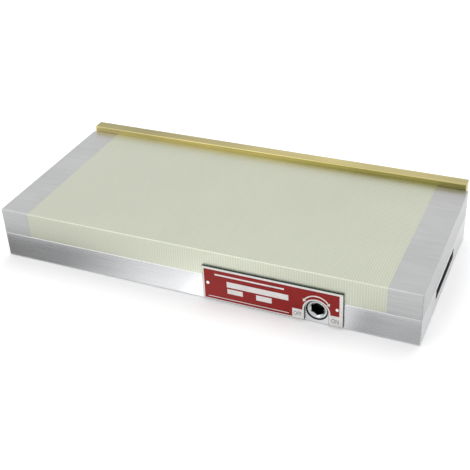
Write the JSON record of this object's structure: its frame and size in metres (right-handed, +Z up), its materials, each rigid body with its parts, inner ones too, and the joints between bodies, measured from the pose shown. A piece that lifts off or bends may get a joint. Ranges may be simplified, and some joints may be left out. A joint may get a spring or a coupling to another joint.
{
  "type": "magnetic chuck",
  "caption": "Permanent magnetic chuck for surface grinding: laminated fine-pole work face, brass back rail, side key socket with on and off plate.",
  "frame": {"origin": "middle of the base's underside, which rests on the machine table", "axes": "+X along the chuck towards the key socket's end, -Y towards the front with the socket and nameplate, +Z up through the work face"},
  "size_m": [0.35, 0.1682, 0.05],
  "materials": {
    "base_steel": "ground",
    "end_block_steel": "ground",
    "blade_steel": "ground",
    "blade_brass": "ground",
    "rail_brass": "brushed lengthwise",
    "core_iron": "milled",
    "magnet_ferrite": "matt",
    "core_brass": "milled",
    "bronze": "milled",
    "shaft_steel": "turned",
    "screw_steel": "black oxide",
    "washer_steel": "bright zinc",
    "seal_rubber": "matt",
    "plate_print": "red print on a dark plate",
    "rivet_metal": "bright"
  },
  "bodies": {
    "chuck_body": {"base": "base_steel", "end_block_left": "end_block_steel", "end_block_right": "end_block_steel", "steel_laminations": "blade_steel", "brass_laminations": "blade_brass", "pole_bars": "core_iron", "pole_spacers": "core_brass", "base_screws": "screw_steel", "slide_strips": "bronze", "stop_screw": "screw_steel", "nameplate": "plate_print", "nameplate_rivets": "rivet_metal", "back_rail_washers": "washer_steel", "back_rail_screws": "screw_steel"},
    "magnet_core": {"core_irons": "core_iron", "core_magnets": "magnet_ferrite", "core_end_plate_left": "core_brass", "core_end_plate_right": "core_brass", "core_rail_front": "core_brass", "core_rail_rear": "core_brass", "guide_shoes": "bronze", "shoe_screws": "screw_steel", "cam_yoke": "core_iron", "yoke_screws": "screw_steel"},
    "key_shaft": {"cam_shaft": "shaft_steel", "shaft_seal": "seal_rubber"},
    "rail": {"back_rail": "rail_brass"}
  },
  "joints": [
    {"name": "shaft_turn", "type": "hinge", "parent": "chuck_body", "child": "key_shaft", "pos_m": [0.0977, -0.067, 0.012], "axis": [0, 1, 0], "range_deg": [0, 180]},
    {"name": "core_slide", "type": "slide", "parent": "chuck_body", "child": "magnet_core", "axis": [1, 0, 0], "range_m": [0, 0.006]},
    {"name": "rail_slide", "type": "slide", "parent": "chuck_body", "child": "rail", "axis": [0, 0, 1], "range_m": [-0.005, 0]}
  ],
  "couplings": [
    {"joint": "shaft_turn", "follows": "core_slide", "rad_per_m": 523.6}
  ]
}
